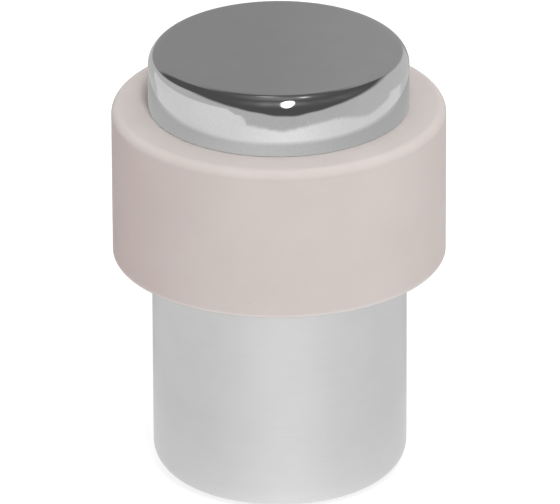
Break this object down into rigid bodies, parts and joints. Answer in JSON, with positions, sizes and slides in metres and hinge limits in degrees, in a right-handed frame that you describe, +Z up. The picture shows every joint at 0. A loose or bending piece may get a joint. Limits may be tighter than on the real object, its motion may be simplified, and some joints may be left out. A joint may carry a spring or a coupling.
{
  "type": "floor door stop",
  "caption": "Round floor-mounted door stop: satin post, rubber buffer ring and a polished screw-on cap hiding the fixing screw.",
  "frame": {"origin": "on the post's axis, at the floor face", "axes": "+Z up along the post's axis, away from the floor; X and Y are equivalent"},
  "size_m": [0.0295, 0.0294, 0.073],
  "materials": {
    "satin_steel": "fine satin brushed stainless steel",
    "die_cast": "plain die-cast zinc alloy, matt",
    "black_rubber": "soft black rubber sheet",
    "zinc_plated": "bright zinc plating",
    "nylon": "grey moulded nylon",
    "pale_rubber": "smooth pale grey-beige rubber, semi-matt",
    "spring_steel": "plain spring steel",
    "polished_steel": "mirror-polished stainless steel"
  },
  "bodies": {
    "post": {"post_shell": "satin_steel", "core": "die_cast", "base_pad": "black_rubber", "fixing_screw": "zinc_plated", "screw_washer": "zinc_plated", "wall_plug": "nylon"},
    "ring": {"buffer_ring": "pale_rubber"},
    "washer": {"cap_washer": "spring_steel"},
    "cap": {"top_cap": "polished_steel", "cap_stud": "zinc_plated"}
  },
  "joints": [
    {"name": "ring_turn", "type": "hinge", "parent": "post", "child": "ring", "pos_m": [0, 0, 0.0276], "axis": [0, 0, 1], "continuous": true},
    {"name": "cap_lift", "type": "slide", "parent": "post", "child": "washer", "axis": [0, 0, 1], "range_m": [0, 0.00975]},
    {"name": "cap_turn", "type": "hinge", "parent": "washer", "child": "cap", "pos_m": [0, 0, 0.0346], "axis": [0, 0, 1], "range_deg": [0, 2340]}
  ],
  "couplings": [
    {"joint": "cap_lift", "follows": "cap_turn", "m_per_rad": 0.00023873}
  ]
}
